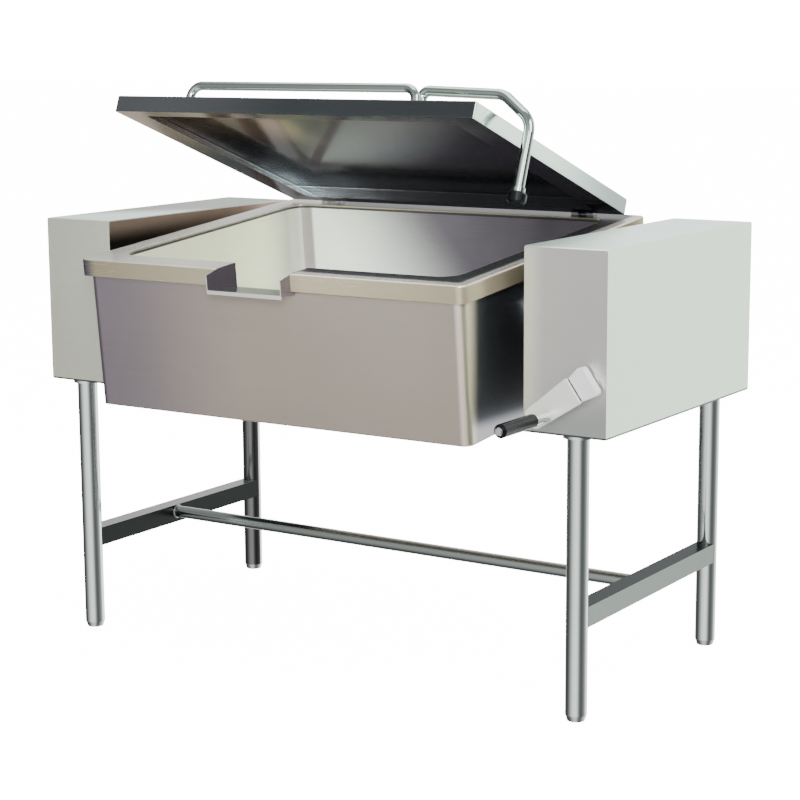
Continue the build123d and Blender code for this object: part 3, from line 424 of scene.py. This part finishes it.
# Starts of the pieces' names; the longest one that fits decides
LOOKS = {
    console_steel: ["base_plate_", "side_panel_", "console_cover_"],
    bearing_wall: ["bearing_plate_"],
    rail_steel: ["side_rail_"],
    casing_steel: ["pan_casing", "pan_bottom_cover"],
    rim_steel: ["pan_rim"],
    well_steel: ["pan_well"],
    lip_steel: ["pouring_lip"],
    lid_steel: ["lid_shell", "lid_return_lip"],
    leg_chrome: ["leg_"],
    cross_chrome: ["cross_tube"],
    handle_chrome: ["lid_handle", "side_arm"],
    crank_chrome: ["crank_ferrule", "crank_spindle"],
    arm_steel: ["crank_arm"],
    hub_steel: ["crank_hub"],
    machined: ["feet", "bearing_bolts", "trunnion_", "heater_clamps", "hinge_", "sector_key",
               "worm_shaft", "crank_bush"],
    dark_cast: ["bearing_left", "bearing_right", "worm_bracket", "pan_floor_plate",
                "heating_elements"],
    bronze: ["worm_sector", "worm_bushes"],
    wool: ["side_insulation", "bottom_insulation"],
    grip_black: ["crank_grip", "side_arm_knob"],
    box_grey: ["terminal_box", "cable_gland"],
}


def look_of(name):
    fits = [(len(start), made) for made, starts in LOOKS.items() for start in starts
            if name.startswith(start)]
    return max(fits, key=lambda fit: fit[0])[1]


for name, piece in nodes.items():
    piece.data.materials.clear()
    piece.data.materials.append(look_of(name))


# Small fastenings, welds and a painted shadow strip
# Half outline of a button screw, in shares of its radius and height
SCREW_OUTLINE = ((1, 0), (1, 0.3), (0.86, 0.72), (0.55, 1), (0.42, 1), (0.4, 0.4))
SCREW_RADIUS, SCREW_HEIGHT_SHARE, SCREW_FACETS = 0.0045, 0.55, 20
SCREW_COLUMNS, SCREW_ROWS = (0.018, 0.152), (0.57, 0.88)
CONSOLE_INNER_FACE, CONSOLE_REAR_FACE = 0.5, 0.3201
# Outline of a weld bead outside the tube, in metres
WELD_OUTLINE = ((0, 0), (0.0022, 0), (0.0018, 0.0011), (0.001, 0.0019), (0, 0.0022))
WELD_FACETS = 28
RAIL_INNER_FACE, CROSS_TUBE_Y, CROSS_TUBE_Z, CROSS_TUBE_RADIUS = 0.58, -0.02, 0.206, 0.014
# The crank's arm plate lies on the hub; a near-black strip along its start edge paints the shadow in
# the step there
CRANK_CENTRE = Vector((0.634, -0.346, 0.654))
CRANK_ANGLE = math.radians(35.7)
PLATE_START, PLATE_HALF_WIDTH, PLATE_SHADOW = 0.0144, 0.0235, 0.0016


def add_piece(name, mesh, made, body):
    piece = bpy.data.objects.new(name, mesh)
    bpy.context.scene.collection.objects.link(piece)
    piece.data.materials.append(made)
    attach(piece, body)


def lathe(name, outline, segments, origin, direction):
    """A closed solid turned round a direction from (radius, height) pairs."""
    turn = Vector(direction).to_track_quat("Z", "Y").to_matrix().to_4x4()
    place = Matrix.Translation(Vector(origin)) @ turn
    points = []
    for radius, height in outline:
        for index in range(segments):
            angle = 2 * math.pi * index / segments
            points.append(place @ Vector((radius * math.cos(angle), radius * math.sin(angle),
                                          height)))
    faces = []
    for ring in range(len(outline) - 1):
        for index in range(segments):
            after = (index + 1) % segments
            low, high = ring * segments, (ring + 1) * segments
            faces.append((low + index, low + after, high + after, high + index))
    faces.append(tuple(range(segments))[::-1])
    top = (len(outline) - 1) * segments
    faces.append(tuple(range(top, top + segments)))
    mesh = bpy.data.meshes.new(name)
    mesh.from_pydata([tuple(p) for p in points], [], faces)
    mesh.shade_smooth()
    return mesh


def bar(name, corner, edges):
    """A closed box from one corner and three edge vectors."""
    points = [Vector(corner) + a * edges[0] + b * edges[1] + c * edges[2]
              for a in (0, 1) for b in (0, 1) for c in (0, 1)]
    faces = [(0, 1, 3, 2), (4, 6, 7, 5), (0, 4, 5, 1), (2, 3, 7, 6), (0, 2, 6, 4), (1, 5, 7, 3)]
    mesh = bpy.data.meshes.new(name)
    mesh.from_pydata([tuple(p) for p in points], [], faces)
    return mesh


def paint_crank_step_shadow():
    along = Vector((-math.cos(CRANK_ANGLE), 0, -math.sin(CRANK_ANGLE)))
    across = Vector((math.sin(CRANK_ANGLE), 0, -math.cos(CRANK_ANGLE)))
    corner = CRANK_CENTRE + along * PLATE_START - across * PLATE_HALF_WIDTH
    edges = (along * PLATE_SHADOW, across * 2 * PLATE_HALF_WIDTH, Vector((0, -PLATE_SHADOW, 0)))
    add_piece("crank_arm_step_shadow", bar("crank_arm_step_shadow", corner, edges), step_shadow_black, CRANK)


def weld_cross_tube(side, sign):
    name = f"cross_tube_weld_{side}"
    outline = [(CROSS_TUBE_RADIUS + out, along) for out, along in WELD_OUTLINE]
    origin = (sign * RAIL_INNER_FACE, CROSS_TUBE_Y, CROSS_TUBE_Z)
    add_piece(name, lathe(name, outline, WELD_FACETS, origin, (-sign, 0, 0)), weld_grey, STAND)


def screw_rear_sheet(side, sign):
    height = SCREW_RADIUS * SCREW_HEIGHT_SHARE
    outline = [(SCREW_RADIUS * out, height * up) for out, up in SCREW_OUTLINE]
    places = [(column, row) for row in SCREW_ROWS for column in SCREW_COLUMNS]
    for index, (column, row) in enumerate(places):
        name = f"rear_screw_{side}_{index}"
        origin = (sign * (CONSOLE_INNER_FACE + column), CONSOLE_REAR_FACE, row)
        add_piece(name, lathe(name, outline, SCREW_FACETS, origin, BACK), machined, STAND)


paint_crank_step_shadow()
for side, sign in (("left", -1), ("right", 1)):
    weld_cross_tube(side, sign)
    screw_rear_sheet(side, sign)


# Camera solved from the photo: yaw, pitch and roll in degrees, focal length in pixels
CAMERA_TURN = (33.031, 10.201, -0.36)
CAMERA_PLACE = Vector((2.34832, -3.58413, 1.28694))
FOCAL_PIXELS, PHOTO_PIXELS, SENSOR_WIDTH = 2046.9, 800, 36.0


def place_camera():
    yaw, pitch, roll = (math.radians(angle) for angle in CAMERA_TURN)
    forward = Vector((-math.sin(yaw) * math.cos(pitch), math.cos(yaw) * math.cos(pitch),
                      -math.sin(pitch)))
    right = Vector((math.cos(yaw), math.sin(yaw), 0))
    up = right.cross(forward)
    right_rolled = right * math.cos(roll) + up * math.sin(roll)
    up_rolled = up * math.cos(roll) - right * math.sin(roll)
    camera = bpy.data.cameras.new("photo_camera")
    camera.sensor_width = SENSOR_WIDTH
    camera.lens = FOCAL_PIXELS / PHOTO_PIXELS * SENSOR_WIDTH
    camera.clip_end = 100.0
    holder = bpy.data.objects.new("photo_camera", camera)
    bpy.context.scene.collection.objects.link(holder)
    turn = Matrix((right_rolled, up_rolled, -forward)).transposed().to_4x4()
    holder.matrix_world = Matrix.Translation(CAMERA_PLACE) @ turn
    bpy.context.scene.camera = holder


# Brightness of the studio round the object: bearing in degrees from +X towards +Y, and strength
STUDIO_ROUND = (
    (-180, 0.09), (-161, 0.09), (-142, 0.25), (-127, 0.50), (-99, 1.3), (-73, 1.6), (-57, 1.4),
    (-41, 0.6), (-30, 0.23), (-15, 0.14), (0, 0.16), (13, 0.24), (33, 0.5), (47, 1.3), (61, 2.4),
    (90, 2.4), (123, 1.95), (148, 0.5), (165, 0.10), (180, 0.09))
# The ceiling takes over from the sides between two rises
CEILING_START, CEILING_END, CEILING = 0.45, 0.8, 0.5
BACKDROP = 16.0
FLOOR_GLOW, FLOOR_REACH = 15.0, 40.0
WHITE = (1.0, 1.0, 1.0, 1)
# Name, place, aim, width and power
SOFTBOXES = (
    ("softbox_right", (2.6, -0.8, 2.8), (-0.2, -0.1, 0.7), 1.8, 70.0),
    ("softbox_top", (-0.3, 0.2, 3.6), (0, 0, 0.8), 2.6, 60.0),
    ("softbox_front", (1.7, -2.6, 1.9), (0.3, -0.2, 0.75), 1.4, 40.0))
WELL_SPOT_PLACE, WELL_SPOT_AIM = (1.0, -1.9, 1.42), (-0.3, 0.15, 0.76)
WELL_SPOT_POWER, WELL_SPOT_ANGLE, WELL_SPOT_RADIUS = 560.0, 26, 0.25


def lay_floor():
    """A pale level floor, lit up a little so that it meets the backdrop without a line."""
    mesh = bpy.data.meshes.new("studio_floor")
    corners = [(x * FLOOR_REACH, y * FLOOR_REACH, 0)
               for x, y in ((-1, -1), (1, -1), (1, 1), (-1, 1))]
    mesh.from_pydata(corners, [], [(0, 1, 2, 3)])
    floor = bpy.data.objects.new("studio_floor", mesh)
    bpy.context.scene.collection.objects.link(floor)
    made = solid("studio_floor", (0.88, 0.88, 0.87), 0.0, 0.9, 3.0, 0.01, 0.0)
    tree = made.node_tree
    path = tree.nodes.new("ShaderNodeLightPath")
    surface = shader_of(made)
    surface.inputs["Emission Color"].default_value = WHITE
    glow = maths(tree, "MULTIPLY", path.outputs["Is Camera Ray"], FLOOR_GLOW)
    tree.links.new(glow, surface.inputs["Emission Strength"])
    mesh.materials.append(made)
    floor.visible_glossy = False


def studio_round(tree, split):
    bearing = maths(tree, "ARCTAN2", split.outputs["Y"], split.outputs["X"])
    curve = tree.nodes.new("ShaderNodeFloatCurve")
    share_round = maths(tree, "ADD", maths(tree, "DIVIDE", bearing, 2 * math.pi), 0.5)
    tree.links.new(share_round, curve.inputs["Value"])
    points = curve.mapping.curves[0].points
    strongest = max(strength for _, strength in STUDIO_ROUND)
    for index, (degrees, strength) in enumerate(STUDIO_ROUND):
        spot = (degrees / 360 + 0.5, strength / strongest)
        if index < 2:
            points[index].location = spot
        else:
            points.new(*spot)
    for point in points:
        point.handle_type = "VECTOR"
    curve.mapping.update()
    return maths(tree, "MULTIPLY", curve.outputs[0], strongest)


def surround_studio():
    world = bpy.data.worlds.new("studio")
    bpy.context.scene.world = world
    world.use_nodes = True
    tree = world.node_tree
    ground = tree.nodes["Background"]
    place = tree.nodes.new("ShaderNodeTexCoord")
    split = tree.nodes.new("ShaderNodeSeparateXYZ")
    link(tree, place, "Generated", split, "Vector")
    sides = studio_round(tree, split)
    above = soft_step(tree, split.outputs["Z"], CEILING_START, CEILING_END)
    below = maths(tree, "SUBTRACT", 1.0, above)
    strength = maths(tree, "ADD", maths(tree, "MULTIPLY", sides, below),
                     maths(tree, "MULTIPLY", above, CEILING))
    path = tree.nodes.new("ShaderNodeLightPath")
    shown = mix_number(tree, path.outputs["Is Camera Ray"], strength, BACKDROP)
    ground.inputs["Color"].default_value = WHITE
    tree.links.new(shown, ground.inputs["Strength"])


def hang_lamp(name, kind, power, place, aim):
    lamp = bpy.data.lights.new(name, kind)
    lamp.energy = power
    holder = bpy.data.objects.new(name, lamp)
    bpy.context.scene.collection.objects.link(holder)
    holder.location = place
    toward = Vector(aim) - Vector(place)
    holder.rotation_euler = toward.to_track_quat("-Z", "Y").to_euler()
    return lamp


def hang_lamps():
    for name, place, aim, width, power in SOFTBOXES:
        lamp = hang_lamp(name, "AREA", power, place, aim)
        lamp.shape = "SQUARE"
        lamp.size = width
    lamp = hang_lamp("well_spot", "SPOT", WELL_SPOT_POWER, WELL_SPOT_PLACE, WELL_SPOT_AIM)
    lamp.spot_size = math.radians(WELL_SPOT_ANGLE)
    lamp.spot_blend = 1.0
    lamp.shadow_soft_size = WELL_SPOT_RADIUS


place_camera()
lay_floor()
surround_studio()
hang_lamps()
